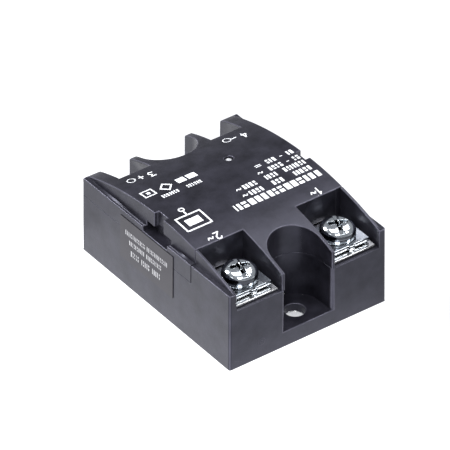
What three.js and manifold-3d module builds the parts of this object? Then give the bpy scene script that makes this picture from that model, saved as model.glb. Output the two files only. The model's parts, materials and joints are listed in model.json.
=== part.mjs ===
// Panel-mount solid state relay, "hockey puck" body with two power and two control screw terminals.
// Millimetres, +Z up. The origin is the centre of the heat-sink face.
// -Y is the power end, +Y the control end.

import * as THREE from 'three';
import { mergeVertices } from 'three/addons/utils/BufferGeometryUtils.js';
import Module from 'manifold-3d';

const wasm = await Module();
wasm.setup();

// ---- driving dimensions -------------------------------------------------------------------------------

const WIDTH = 44.8;                // across X at the heat-sink face
const LENGTH = 58.2;               // along Y at the heat-sink face
const HEIGHT = 25.6;               // crown of the arched top
const DRAFT = Math.tan(THREE.MathUtils.degToRad(0.76));
const CORNER_RADIUS = 0.7;
const ARCH_RADIUS = 84.1;          // the top is one arc along Y
const ARCH_CENTRE_Z = HEIGHT - ARCH_RADIUS;
const REAR_ROUND = 1.5;            // roll-over where the arch meets the rear face
const SKIRT_TOP = 20.6;            // top of the lower side walls, where the narrower arch stands back
const ARCH_WIDTH = 42.4;           // arch block across X, measured at the heat-sink face like WIDTH
const PART_Z = 15.9;               // parting plane between housing and cover, and the power shelf
const SEAM_Y = -14;                // vertical seam between the cover and the front pocket walls
const SEAM_GAP = 0.12;
const CUT = 60;                    // longer than any cut needs

const MOUNT_PITCH = 47.6;
const MOUNT_BORE_RADIUS = 2.45;
const CHANNEL_FLOOR = 4.2;
const FRONT_CHANNEL = { y: -24.25, radius: 6.66 };
const REAR_CHANNEL = { y: 25.9, radius: 7.1 };
const WALL = 1.3;
const MOUTH_CHAMFER = 0.7;         // down both corners where the front channel opens into the front face

const POWER = { x: 13.9, y: -21.4, inner: 7.5, outer: 20.2, shelf: PART_Z };
const CONTROL = { x: 13.1, y: 24.6, inner: 8.8, outer: 17.4, front: 20.5, shelf: 13 };

const BASEPLATE = { thickness: 2, edge: 2.1, corner: 1, gap: 0.3 };
const UNDER_SHELF = { inner: 9.4, outer: 19.6, front: -27, rear: -14.2, top: 5.4 };
const CAVITY = { x: 20.3, front: -12.8, rear: 19.3 };
const ROOF = { thickness: 1.7, halfWidth: 18.6, gap: 0.3 };
const LIP = { thickness: 1.1, depth: 1.6, clearance: 0.3, front: -7, rear: 14 };
const SNAP = { width: 6, depth: 4.6 };
const CLIP_GROOVE = { near: 19.6, halfWidth: 1.7, bottom: 21 };
const CLIP_CATCH = { near: 19.2, halfWidth: 4.7, bottom: 19.4, top: 21.7 };
const LABEL = { y: 3, z: 13.3, length: 20.6, height: 11.6, thickness: 0.12, gap: 0.05 };

const CERAMIC = { x: 30, y: 25, centreY: 0.3, z: BASEPLATE.thickness, thickness: 0.63 };
const PAD = { thickness: 0.3, near: 0.6, edge: 0.6 };
const DIE = { size: 8, thickness: 0.4, x: 8.8, y: 4 };
const STRAP = { thickness: 0.4, width: 2.4, rise: 2, y: 2 };
const GATE = { y: 2.4, radius: 0.4, hole: 0.7, above: 0.8 };
const PAD_Z = CERAMIC.z + CERAMIC.thickness;
const DIE_Z = PAD_Z + PAD.thickness;
const DIE_TOP = DIE_Z + DIE.thickness;

const BOARD = { x: 37, front: -9.8, rear: 17.1, z: 9, thickness: 1.6 };
const BOARD_TOP = BOARD.z + BOARD.thickness;
const BOARD_POST = { inner: 17.2, depth: 2.4 };
const LEG = { pitch: 2.54, width: 0.8, depth: 0.5, standoff: 0.5 };
const OPTOCOUPLER = { x: -6, y: 9.5, width: 6.4, length: 8.4, height: 3.4, pins: 3 };
const REGULATOR = { x: 0.6, y: 3, width: 3.9, length: 4.9, height: 1.5, pins: 2 };
const RECTIFIER = { x: 13.6, y: 9, width: 4.6, length: 6.4, height: 2.8, pins: 2 };
const VARISTOR = { x: -13.2, y: -1, radius: 4.5, thickness: 3.6, standoff: 1.5, lead: 0.35, pitch: 5 };
const CAPACITOR = { x: 8.1, y: -5, width: 13, depth: 5.2, height: 10, standoff: 0.4, lead: 0.4, pitch: 10 };
const RESISTOR = { x: -5.6, y: -6.6, radius: 1.7, length: 8, height: 2.4, lead: 0.35, pitch: 10.2 };
const LED = { x: 6, y: 9.75, radius: 1.5, flange: 1.9, height: 4.7 };
const PIPE = { bore: 1.1, radius: 1, collar: 1.7, collarHeight: 0.8, aboveLamp: 0.4, sunk: 0.35 };

const POWER_SCREW = { thread: 2.5, head: 4.25, height: 3.5, length: 9, slot: 1.1, across: 8, nut: 4 };
const CONTROL_SCREW = { thread: 1.5, head: 2.95, height: 2.3, length: 9, slot: 0.8, across: 5.5, nut: 2.4 };
const THREAD_ROOM = 0.3;           // between a screw and any hole it passes through
const WELL_ROOM = 0.8;             // between a screw's end and the blind hole under its nut
const NUT_GAP = 0.15;
const POWER_PLATE = { x: 11.6, front: -28, thickness: 0.8 };
const CONTROL_PLATE = { x: 7.4, rear: 28.2, thickness: 0.8 };
const POWER_NECK = { halfWidth: 4, room: 0.4, height: 1.1 };
const CONTROL_NECK = { halfWidth: 1.5, room: 0.3 };
const POWER_LEG = { outer: 14.2, y: -11.8, foot: 5 };
const CONTROL_TAIL = { halfWidth: 0.5, y: 15.9, below: 0.6, room: 0.3 };
const CLAMP_LIFT = 0.3;            // the clamp's feet hold its plate this far above the terminal
const CLAMP_FOOT = { near: 1.1, far: 0.3, end: 0.4, gap: 0.1 };
const CLAMP_TAB = { halfWidth: 0.8, reach: 0.5 };
const POWER_CLAMP = { x: 10.4, y: 10.2, thickness: 1.1 };
const CONTROL_CLAMP = { x: 7, y: 6.8, thickness: 0.8 };

// Each side of the relay, with the turn of its two screw slots from straight across the body.
const SIDES = [
  { side: -1, power: 'load', control: 'positive', powerSlot: -16, controlSlot: 38 },
  { side: 1, power: 'line', control: 'negative', powerSlot: -22, controlSlot: -61 },
];

// ---- materials ----------------------------------------------------------------------------------------

function material(color, roughness, metalness) {
  return new THREE.MeshStandardMaterial({ color, roughness, metalness });
}

const blackPlastic = () => material(0x232228, 0.45, 0);
const zinc = () => material(0xc9d2d8, 0.25, 1);
const tinned = () => material(0xd6d6d4, 0.3, 1);
const copper = () => material(0xb87345, 0.35, 1);
const steel = () => material(0xa8a9ab, 0.4, 1);

// ---- solids -------------------------------------------------------------------------------------------

function solid(geometry) {
  geometry.deleteAttribute('normal');
  geometry.deleteAttribute('uv');
  const merged = mergeVertices(geometry, 1e-5);
  return new wasm.Manifold(new wasm.Mesh({
    numProp: 3,
    vertProperties: new Float32Array(merged.attributes.position.array),
    triVerts: new Uint32Array(merged.index.array),
  }));
}

function box(x0, x1, y0, y1, z0, z1) {
  const geometry = new THREE.BoxGeometry(x1 - x0, y1 - y0, z1 - z0);
  geometry.translate((x0 + x1) / 2, (y0 + y1) / 2, (z0 + z1) / 2);
  return solid(geometry);
}

// A box on one side of the relay: side is -1 or +1, near and far are distances from the centre plane.
function sideBox(side, near, far, y0, y1, z0, z1) {
  return box(Math.min(side * near, side * far), Math.max(side * near, side * far), y0, y1, z0, z1);
}

function extrudeUp(shape, z0, z1, segments = 8) {
  const geometry = new THREE.ExtrudeGeometry(shape, {
    depth: z1 - z0,
    bevelEnabled: false,
    curveSegments: segments,
  });
  return geometry.translate(0, 0, z0);
}

// A (Y, Z) outline swept across X.
function extrudeAcross(shape, x0, x1, segments = 24) {
  const geometry = extrudeUp(shape, x0, x1, segments);
  const turn = new THREE.Matrix4().makeBasis(
    new THREE.Vector3(0, 1, 0),
    new THREE.Vector3(0, 0, 1),
    new THREE.Vector3(1, 0, 0),
  );
  return solid(geometry.applyMatrix4(turn));
}

function cylinder(radius, x, y, z0, z1, segments = 32) {
  const geometry = new THREE.CylinderGeometry(radius, radius, z1 - z0, segments);
  geometry.rotateX(Math.PI / 2);
  geometry.translate(x, y, (z0 + z1) / 2);
  return solid(geometry);
}

// A (radius, z) profile that starts and ends on the axis, turned round a vertical axis.
function turned(profile, x, y, segments = 32) {
  const points = profile.map(([r, z]) => new THREE.Vector2(r, z));
  const geometry = new THREE.LatheGeometry(points, segments);
  geometry.rotateX(Math.PI / 2);
  geometry.translate(x, y, 0);
  return solid(geometry);
}

function union(...parts) {
  return parts.reduce((whole, part) => whole.add(part));
}

function without(whole, ...cuts) {
  return cuts.reduce((rest, cut) => rest.subtract(cut), whole);
}

const bothSides = (make) => [-1, 1].map(make);

// ---- the outer form -----------------------------------------------------------------------------------

function roundedRectangle(width, length, radius) {
  const x = width / 2 - radius;
  const y = length / 2 - radius;
  const quarter = Math.PI / 2;
  const shape = new THREE.Shape();
  shape.absarc(x, y, radius, 0, quarter);
  shape.absarc(-x, y, radius, quarter, 2 * quarter);
  shape.absarc(-x, -y, radius, 2 * quarter, 3 * quarter);
  shape.absarc(x, -y, radius, 3 * quarter, 4 * quarter);
  return shape;
}

// Every side wall leans in by the draft angle from the heat-sink face upwards.
function lean(geometry) {
  const position = geometry.attributes.position;
  for (let i = 0; i < position.count; i += 1) {
    const inset = position.getZ(i) * DRAFT;
    position.setX(i, position.getX(i) - Math.sign(position.getX(i)) * inset);
    position.setY(i, position.getY(i) - Math.sign(position.getY(i)) * inset);
  }
  return geometry;
}

function draftedBlock(width, height) {
  return solid(lean(extrudeUp(roundedRectangle(width, LENGTH, CORNER_RADIUS), 0, height, 3)));
}

const archHeight = (y, inset = 0) => ARCH_CENTRE_Z + Math.sqrt((ARCH_RADIUS - inset) ** 2 - y ** 2);

// Everything under the arch, seen from the side; inset lowers the arch for the inside of the roof.
function archOutline(inset = 0) {
  const radius = ARCH_RADIUS - inset;
  const rear = LENGTH / 2 - REAR_ROUND;
  const angle = (y) => Math.acos(y / radius);
  const drop = archHeight(rear, inset) - REAR_ROUND;
  const shape = new THREE.Shape();
  shape.moveTo(LENGTH / 2 + 1, -1);
  shape.lineTo(-LENGTH / 2 - 1, -1);
  shape.absarc(0, ARCH_CENTRE_Z, radius, angle(-LENGTH / 2 - 1), angle(rear), true);
  const bend = rear + REAR_ROUND * 0.8;
  shape.quadraticCurveTo(bend, archHeight(bend, inset), rear + REAR_ROUND, drop);
  shape.lineTo(LENGTH / 2 + 1, drop);
  return shape;
}

function envelope() {
  const blocks = draftedBlock(WIDTH, SKIRT_TOP).add(draftedBlock(ARCH_WIDTH, HEIGHT + 1));
  return blocks.intersect(extrudeAcross(archOutline(), -CUT / 2, CUT / 2));
}

// A plan-view U: a half circle that runs out straight through the end of the body.
function channel({ y, radius }, z0, z1, grow = 0) {
  const outward = Math.sign(y);
  const r = radius + grow;
  const start = outward > 0 ? Math.PI : 0;
  const shape = new THREE.Shape();
  shape.absarc(0, y, r, start, start + Math.PI);
  shape.lineTo(outward * r, y + outward * CUT / 2);
  shape.lineTo(-outward * r, y + outward * CUT / 2);
  return solid(extrudeUp(shape, z0, z1, 28));
}

function channelCuts() {
  return [
    channel(FRONT_CHANNEL, CHANNEL_FLOOR, CUT),
    channel(REAR_CHANNEL, CHANNEL_FLOOR, CUT),
  ];
}

function mouthChamfers() {
  const height = PART_Z - CHANNEL_FLOOR;
  return bothSides((side) => {
    const prism = new THREE.CylinderGeometry(MOUTH_CHAMFER, MOUTH_CHAMFER, height, 4);
    prism.rotateX(Math.PI / 2);
    return solid(prism.translate(side * FRONT_CHANNEL.radius, -LENGTH / 2, CHANNEL_FLOOR + height / 2));
  });
}

// The front screw hole is round; the rear one is a slot open to the end, so the relay slides onto its screw.
function mountingCuts(z0, z1) {
  return [
    cylinder(MOUNT_BORE_RADIUS, 0, -MOUNT_PITCH / 2, z0, z1),
    channel({ y: MOUNT_PITCH / 2, radius: MOUNT_BORE_RADIUS }, z0, z1),
  ];
}

function terminalPocketCuts() {
  return bothSides((side) => union(
    sideBox(side, POWER.inner, POWER.outer, -CUT, SEAM_Y, POWER.shelf, CUT),
    sideBox(side, CONTROL.inner, CONTROL.outer, CONTROL.front, CUT, CONTROL.shelf, CUT),
  ));
}

// Necks of the terminal plates pass through these slots into the inside of the relay.
function powerNeckSlots() {
  const reach = POWER_NECK.halfWidth + POWER_NECK.room;
  return bothSides((side) => (
    sideBox(side, POWER.x - reach, POWER.x + reach, SEAM_Y - 1, CAVITY.front + 1,
      PART_Z - 1, PART_Z + POWER_NECK.height)
  ));
}

function controlNeckSlots() {
  const reach = CONTROL_NECK.halfWidth + CONTROL_NECK.room;
  return bothSides((side) => (
    sideBox(side, CONTROL.x - reach, CONTROL.x + reach, CAVITY.rear - 1, CONTROL.front + 1,
      CONTROL.shelf, PART_Z)
  ));
}

// ---- housing and cover --------------------------------------------------------------------------------

function nutBlank({ across }, x, y, z0, z1, clearance = 0) {
  const geometry = new THREE.CylinderGeometry(1, 1, z1 - z0, 6);
  const radius = (across / 2 + clearance) / Math.cos(Math.PI / 6);
  geometry.rotateX(Math.PI / 2);
  geometry.scale(radius, radius, 1);
  geometry.translate(x, y, (z0 + z1) / 2);
  return solid(geometry);
}

// A hexagonal pocket in the shelf for the captive nut, and a blind hole under it for the screw's end.
function nutWell({ x, y, shelf }, screw, side) {
  const nutBottom = shelf - screw.nut;
  const nut = nutBlank(screw, side * x, y, nutBottom, shelf + 1, NUT_GAP);
  const hole = cylinder(screw.thread + WELL_ROOM, side * x, y, shelf - screw.length, nutBottom + 1, 24);
  return nut.add(hole);
}

function housing() {
  const lower = box(-CUT, CUT, -CUT, CUT, -1, PART_Z);
  const pocketWalls = bothSides((side) => (
    sideBox(side, POWER.outer, CUT, -CUT, SEAM_Y - SEAM_GAP / 2, PART_Z - 1, CUT)
  ));
  const core = without(
    box(-CAVITY.x, CAVITY.x, CAVITY.front, CAVITY.rear, -1, PART_Z + 1),
    channel(REAR_CHANNEL, -1, CUT, WALL),
  );
  const recessX = WIDTH / 2 - BASEPLATE.edge + BASEPLATE.gap;
  const recessY = LENGTH / 2 - BASEPLATE.edge + BASEPLATE.gap;
  const baseRecess = box(-recessX, recessX, -recessY, recessY, -1, BASEPLATE.thickness);
  const hollow = UNDER_SHELF;
  const underShelf = bothSides((side) => (
    sideBox(side, hollow.inner, hollow.outer, hollow.front, hollow.rear, -1, hollow.top)
  ));
  const { front, rear } = BOARD;
  const boardPost = (side, y0, y1) => (
    sideBox(side, BOARD_POST.inner, CAVITY.x + 0.5, y0, y1, BASEPLATE.thickness, BOARD.z)
  );
  const boardPosts = bothSides((side) => union(
    boardPost(side, front, front + BOARD_POST.depth),
    boardPost(side, rear - BOARD_POST.depth, rear),
  ));
  const shell = without(
    envelope().intersect(union(lower, ...pocketWalls)),
    ...channelCuts(),
    ...mouthChamfers(),
    ...terminalPocketCuts(),
    core,
    baseRecess,
    ...underShelf,
    ...mountingCuts(-1, CHANNEL_FLOOR + 1),
    ...bothSides((side) => nutWell(POWER, POWER_SCREW, side)),
    ...bothSides((side) => nutWell(CONTROL, CONTROL_SCREW, side)),
    ...controlNeckSlots(),
  );
  return union(shell, ...boardPosts);
}

// The clip points of a flip-up guard: a narrow groove down each side of the arch into a wider catch pocket.
function guardClipCuts() {
  const groove = CLIP_GROOVE;
  const pocket = CLIP_CATCH;
  return bothSides((side) => union(
    sideBox(side, groove.near, CUT, -groove.halfWidth, groove.halfWidth, groove.bottom, CUT),
    sideBox(side, pocket.near, CUT, -pocket.halfWidth, pocket.halfWidth, pocket.bottom, pocket.top),
  ));
}

function cover() {
  const upper = box(-CUT, CUT, -CUT, CUT, PART_Z, CUT);
  const pocketWallRoom = bothSides((side) => (
    sideBox(side, POWER.outer - 1, CUT, -CUT, SEAM_Y + SEAM_GAP / 2, PART_Z - 1, CUT)
  ));
  const underRoof = extrudeAcross(archOutline(ROOF.thickness), -ROOF.halfWidth, ROOF.halfWidth);
  const hollow = underRoof.intersect(
    box(-CUT, CUT, CAVITY.front + ROOF.gap, CAVITY.rear - ROOF.gap, PART_Z - 1, CUT),
  );
  const rearWall = channel(REAR_CHANNEL, -1, CUT, WALL);
  const outer = CAVITY.x - LIP.clearance;
  const inner = outer - LIP.thickness;
  const root = PART_Z + 0.5;
  const lips = bothSides((side) => union(
    sideBox(side, inner, outer, LIP.front, LIP.rear, PART_Z - LIP.depth, root),
    sideBox(side, inner, outer, -SNAP.width / 2, SNAP.width / 2, PART_Z - SNAP.depth, root),
  ));
  const shell = without(
    envelope().intersect(upper),
    ...pocketWallRoom,
    ...terminalPocketCuts(),
    ...channelCuts(),
    hollow.subtract(rearWall),
    ...guardClipCuts(),
    cylinder(PIPE.bore, LED.x, LED.y, SKIRT_TOP, CUT, 24),
    ...powerNeckSlots(),
  );
  return union(shell, ...lips);
}

// A thin film on the left wall, leaning in with it.
function sealLabel() {
  const { y, z, length, height, thickness, gap } = LABEL;
  const geometry = new THREE.BoxGeometry(thickness, length, height);
  geometry.translate(-WIDTH / 2 - gap - thickness / 2, y, z);
  const position = geometry.attributes.position;
  for (let i = 0; i < position.count; i += 1) {
    position.setX(i, position.getX(i) + position.getZ(i) * DRAFT);
  }
  return solid(geometry);
}

// ---- heat path and power stage ------------------------------------------------------------------------

function baseplate() {
  const { thickness, edge, corner } = BASEPLATE;
  const outline = roundedRectangle(WIDTH - 2 * edge, LENGTH - 2 * edge, corner);
  return without(solid(extrudeUp(outline, 0, thickness, 3)), ...mountingCuts(-1, thickness + 1));
}

function ceramicSubstrate() {
  const outline = roundedRectangle(CERAMIC.x, CERAMIC.y, 0.5);
  const tile = extrudeUp(outline, CERAMIC.z, CERAMIC.z + CERAMIC.thickness, 2);
  return solid(tile.translate(0, CERAMIC.centreY, 0));
}

function copperPad(side) {
  const reach = CERAMIC.y / 2 - PAD.edge;
  const { centreY } = CERAMIC;
  return sideBox(side, PAD.near, CERAMIC.x / 2 - PAD.edge, centreY - reach, centreY + reach, PAD_Z, DIE_Z);
}

function thyristorDie(side) {
  const half = DIE.size / 2;
  return sideBox(side, DIE.x - half, DIE.x + half, DIE.y - half, DIE.y + half, DIE_Z, DIE_TOP);
}

// Each strap arches from the top of one thyristor to the pad under the other, so the pair conducts both ways.
function cathodeStrap(side) {
  const underside = [
    [10.6, DIE_TOP],
    [6.2, DIE_TOP],
    [3.8, DIE_TOP + STRAP.rise],
    [0.6, DIE_TOP + STRAP.rise],
    [-1.8, DIE_Z],
    [-4.2, DIE_Z],
  ];
  const upperside = underside.map(([x, z]) => [x, z + STRAP.thickness]).reverse();
  const outline = new THREE.Shape([...underside, ...upperside].map(([x, z]) => new THREE.Vector2(x, z)));
  const geometry = extrudeUp(outline, -STRAP.width / 2, STRAP.width / 2);
  geometry.rotateX(Math.PI / 2);
  if (side < 0) {
    geometry.rotateZ(Math.PI);
  }
  return solid(geometry.translate(0, DIE.y - side * STRAP.y, 0));
}

function gateSpot(side) {
  return { x: side * DIE.x, y: DIE.y + side * GATE.y };
}

function gatePin(side) {
  const { x, y } = gateSpot(side);
  return cylinder(GATE.radius, x, y, DIE_TOP, BOARD_TOP + GATE.above, 12);
}

// Terminal plate on the shelf, a neck through the wall, a leg down to the substrate and a soldered foot.
function powerTerminal(side) {
  const z = POWER.shelf;
  const t = POWER_PLATE.thickness;
  const half = POWER_PLATE.x / 2;
  const neck = POWER_NECK.halfWidth;
  const centre = side * POWER.x;
  const { outer, y, foot } = POWER_LEG;
  const plate = union(
    box(centre - half, centre + half, POWER_PLATE.front, SEAM_Y - 0.3, z, z + t),
    box(centre - neck, centre + neck, SEAM_Y - 1, y + t, z, z + t),
    sideBox(side, POWER.x - neck, outer, y, y + t, DIE_Z, z + t),
    sideBox(side, POWER.x - neck, outer, y, y + foot, DIE_Z, DIE_Z + t),
  );
  return plate.subtract(cylinder(POWER_SCREW.thread + THREAD_ROOM, centre, POWER.y, z - 1, z + 3));
}

// Terminal plate on the shelf, a neck through the wall and a narrow tail soldered into the board.
function controlTerminal(side) {
  const z = CONTROL.shelf;
  const t = CONTROL_PLATE.thickness;
  const half = CONTROL_PLATE.x / 2;
  const neck = CONTROL_NECK.halfWidth;
  const tail = CONTROL_TAIL.halfWidth;
  const centre = side * CONTROL.x;
  const { y, below } = CONTROL_TAIL;
  const plate = union(
    box(centre - half, centre + half, CONTROL.front + 0.3, CONTROL_PLATE.rear, z, z + t),
    box(centre - neck, centre + neck, y, CONTROL.front + 1, z, z + t),
    box(centre - tail, centre + tail, y, y + t, BOARD.z - below, z + t),
  );
  return plate.subtract(cylinder(CONTROL_SCREW.thread + THREAD_ROOM, centre, CONTROL.y, z - 1, z + 3));
}

// ---- clamps, screws and nuts --------------------------------------------------------------------------

// A square clamp plate with two feet under it and a small guide tab at its outward edge.
function clampPlate({ x, y, shelf }, plate, screw, terminalThickness, outward) {
  const bottom = shelf + terminalThickness + CLAMP_LIFT;
  const top = bottom + plate.thickness;
  const foot = bottom - CLAMP_LIFT + CLAMP_FOOT.gap;
  const halfX = plate.x / 2;
  const halfY = plate.y / 2;
  const body = box(-halfX, halfX, -halfY, halfY, bottom, top);
  const feet = bothSides((side) => (
    sideBox(side, halfX - CLAMP_FOOT.near, halfX - CLAMP_FOOT.far, -halfY + CLAMP_FOOT.end,
      halfY - CLAMP_FOOT.end, foot, bottom + CLAMP_FOOT.gap)
  ));
  const edge = outward * halfY;
  const tip = edge + outward * CLAMP_TAB.reach;
  const tabHalf = CLAMP_TAB.halfWidth;
  const tab = box(-tabHalf, tabHalf, Math.min(edge, tip), Math.max(edge, tip), foot, top);
  const bore = cylinder(screw.thread + THREAD_ROOM, 0, 0, bottom - 2, top + 1);
  return without(union(body, ...feet, tab), bore).translate([x, y, 0]);
}

// Combination head: a slot right across and a cross recess in the middle, turned by slotTurn degrees.
function terminalScrew(screw, { x, y }, seat, slotTurn) {
  const { thread, head, height, length, slot } = screw;
  const top = seat + height;
  const blank = turned([
    [0, seat - length],
    [thread - 0.5, seat - length],
    [thread, seat - length + 0.5],
    [thread, seat],
    [head, seat],
    [head, seat + height * 0.45],
    [head * 0.93, seat + height * 0.72],
    [head * 0.76, seat + height * 0.92],
    [head * 0.5, top],
    [0, top],
  ], 0, 0, 36);
  const reach = head * 0.56;
  const drive = union(
    box(-slot / 2, slot / 2, -head - 1, head + 1, top - height * 0.4, top + 1),
    box(-reach, reach, -slot / 2, slot / 2, top - height * 0.5, top + 1),
    cylinder(slot, 0, 0, top - height * 0.6, top + 1, 12),
  );
  return blank.subtract(drive.rotate([0, 0, slotTurn])).translate([x, y, 0]);
}

function captiveNut(screw, { x, y, shelf }, side) {
  const blank = nutBlank(screw, side * x, y, shelf - screw.nut, shelf - 0.1);
  const bore = cylinder(screw.thread + THREAD_ROOM, side * x, y, shelf - screw.nut - 1, shelf + 1, 24);
  return blank.subtract(bore);
}

// ---- control electronics ------------------------------------------------------------------------------

function circuitBoard() {
  const board = box(-BOARD.x / 2, BOARD.x / 2, BOARD.front, BOARD.rear, BOARD.z, BOARD_TOP);
  const pinHoles = bothSides((side) => {
    const { x, y } = gateSpot(side);
    return cylinder(GATE.hole, x, y, BOARD.z - 1, BOARD_TOP + 1, 12);
  });
  const { halfWidth, y, room } = CONTROL_TAIL;
  const tailSlots = bothSides((side) => (
    sideBox(side, CONTROL.x - halfWidth - room, CONTROL.x + halfWidth + room, y - room,
      y + CONTROL_PLATE.thickness + room, BOARD.z - 1, BOARD_TOP + 1)
  ));
  return without(board, ...pinHoles, ...tailSlots);
}

// A moulded package with straight legs down both long sides.
function dualInLine({ x, y, width, length, height, pins }) {
  const bottom = BOARD_TOP + LEG.standoff;
  const body = box(x - width / 2, x + width / 2, y - length / 2, y + length / 2, bottom, bottom + height);
  const legs = [];
  for (let pin = 0; pin < pins; pin += 1) {
    const legY = y + (pin - (pins - 1) / 2) * LEG.pitch;
    for (const end of [-1, 1]) {
      const legX = x + end * (width / 2 + LEG.width / 4);
      legs.push(box(legX - LEG.width / 2, legX + LEG.width / 2, legY - LEG.depth / 2, legY + LEG.depth / 2,
        BOARD_TOP, bottom + height / 2));
    }
  }
  return union(body, ...legs);
}

function leads({ x, y, lead, pitch }, top) {
  return [-pitch / 2, pitch / 2].map((offset) => cylinder(lead, x + offset, y, BOARD_TOP, top, 10));
}

function varistor() {
  const { x, y, radius, thickness, standoff } = VARISTOR;
  const centreZ = BOARD_TOP + standoff + radius;
  const disc = new THREE.CylinderGeometry(radius, radius, thickness, 28);
  return union(solid(disc.translate(x, y, centreZ)), ...leads(VARISTOR, centreZ));
}

function snubberCapacitor() {
  const { x, y, width, depth, height, standoff } = CAPACITOR;
  const bottom = BOARD_TOP + standoff;
  const body = box(x - width / 2, x + width / 2, y - depth / 2, y + depth / 2, bottom, bottom + height);
  return union(body, ...leads(CAPACITOR, bottom + 1));
}

function snubberResistor() {
  const { x, y, radius, length, height, lead, pitch } = RESISTOR;
  const z = BOARD_TOP + height;
  const across = (geometry) => solid(geometry.rotateZ(Math.PI / 2).translate(x, y, z));
  const body = across(new THREE.CylinderGeometry(radius, radius, length, 20));
  const wire = across(new THREE.CylinderGeometry(lead, lead, pitch + 2 * lead, 10));
  return union(body, wire, ...leads(RESISTOR, z + 0.2));
}

function statusLed() {
  const { x, y, radius, flange, height } = LED;
  const z = BOARD_TOP;
  return turned([
    [0, z],
    [flange, z],
    [flange, z + 1],
    [radius, z + 1],
    [radius, z + height - radius],
    [radius * 0.87, z + height - radius * 0.5],
    [radius * 0.5, z + height - radius * 0.13],
    [0, z + height],
  ], x, y, 20);
}

// Clear rod from just above the lamp up to the hole in the arched top, with a collar under the roof.
function lightPipe() {
  const { radius, collar, collarHeight, aboveLamp, sunk } = PIPE;
  const { x, y } = LED;
  const bottom = BOARD_TOP + LED.height + aboveLamp;
  const collarTop = archHeight(y + 2, ROOF.thickness) - 0.2;
  return turned([
    [0, bottom],
    [radius, bottom],
    [radius, collarTop - collarHeight],
    [collar, collarTop - collarHeight],
    [collar, collarTop],
    [radius, collarTop],
    [radius, archHeight(y) - sunk - 0.2],
    [0, archHeight(y) - sunk],
  ], x, y, 20);
}

// ---- the assembly -------------------------------------------------------------------------------------

const relay = new THREE.Group();
relay.name = 'solid_state_relay';

function place(name, body, look) {
  const { vertProperties, triVerts } = body.getMesh();
  const geometry = new THREE.BufferGeometry();
  geometry.setAttribute('position', new THREE.BufferAttribute(vertProperties, 3));
  geometry.setIndex(new THREE.BufferAttribute(triVerts, 1));
  geometry.computeVertexNormals();
  const mesh = new THREE.Mesh(geometry, look);
  mesh.name = name;
  relay.add(mesh);
}

place('housing', housing(), blackPlastic());
place('cover', cover(), blackPlastic());
place('seal_label', sealLabel(), material(0x3a3a40, 0.35, 0));
place('baseplate', baseplate(), material(0xc4c6c9, 0.35, 1));
place('ceramic_substrate', ceramicSubstrate(), material(0xefece4, 0.6, 0));
place('circuit_board', circuitBoard(), material(0x1f6b3a, 0.5, 0));
place('optocoupler', dualInLine(OPTOCOUPLER), material(0xe8e6df, 0.5, 0));
place('input_regulator', dualInLine(REGULATOR), material(0x1b1b1d, 0.55, 0));
place('bridge_rectifier', dualInLine(RECTIFIER), material(0x1d1d20, 0.5, 0));
place('varistor', varistor(), material(0x2f5fa8, 0.4, 0));
place('snubber_capacitor', snubberCapacitor(), material(0xb8452f, 0.45, 0));
place('snubber_resistor', snubberResistor(), material(0xb9a27a, 0.6, 0));
place('status_led', statusLed(), material(0x5fae4c, 0.2, 0));
place('light_pipe', lightPipe(), material(0xdedfe0, 0.15, 0));

for (const { side, power, control, powerSlot, controlSlot } of SIDES) {
  place(`${power}_pad`, copperPad(side), copper());
  place(`${power}_thyristor`, thyristorDie(side), material(0x6f7480, 0.3, 0.4));
  place(`${power}_cathode_strap`, cathodeStrap(side), copper());
  place(`${power}_gate_pin`, gatePin(side), tinned());

  const powerSpot = { ...POWER, x: side * POWER.x };
  const powerSeat = POWER.shelf + POWER_PLATE.thickness + CLAMP_LIFT + POWER_CLAMP.thickness;
  const powerClamp = clampPlate(powerSpot, POWER_CLAMP, POWER_SCREW, POWER_PLATE.thickness, -1);
  place(`${power}_terminal`, powerTerminal(side), tinned());
  place(`${power}_nut`, captiveNut(POWER_SCREW, POWER, side), steel());
  place(`${power}_clamp`, powerClamp, zinc());
  place(`${power}_screw`, terminalScrew(POWER_SCREW, powerSpot, powerSeat, powerSlot), zinc());

  const controlSpot = { ...CONTROL, x: side * CONTROL.x };
  const controlSeat = CONTROL.shelf + CONTROL_PLATE.thickness + CLAMP_LIFT + CONTROL_CLAMP.thickness;
  const controlClamp = clampPlate(controlSpot, CONTROL_CLAMP, CONTROL_SCREW, CONTROL_PLATE.thickness, 1);
  place(`${control}_terminal`, controlTerminal(side), tinned());
  place(`${control}_nut`, captiveNut(CONTROL_SCREW, CONTROL, side), steel());
  place(`${control}_clamp`, controlClamp, zinc());
  place(`${control}_screw`, terminalScrew(CONTROL_SCREW, controlSpot, controlSeat, controlSlot), zinc());
}

export default relay;
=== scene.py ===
"""Looks for the solid state relay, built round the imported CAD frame. Metres, +Z up, as in the frame."""
import json
import math
import random

import bmesh
import bpy
from mathutils import Matrix, Vector

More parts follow.
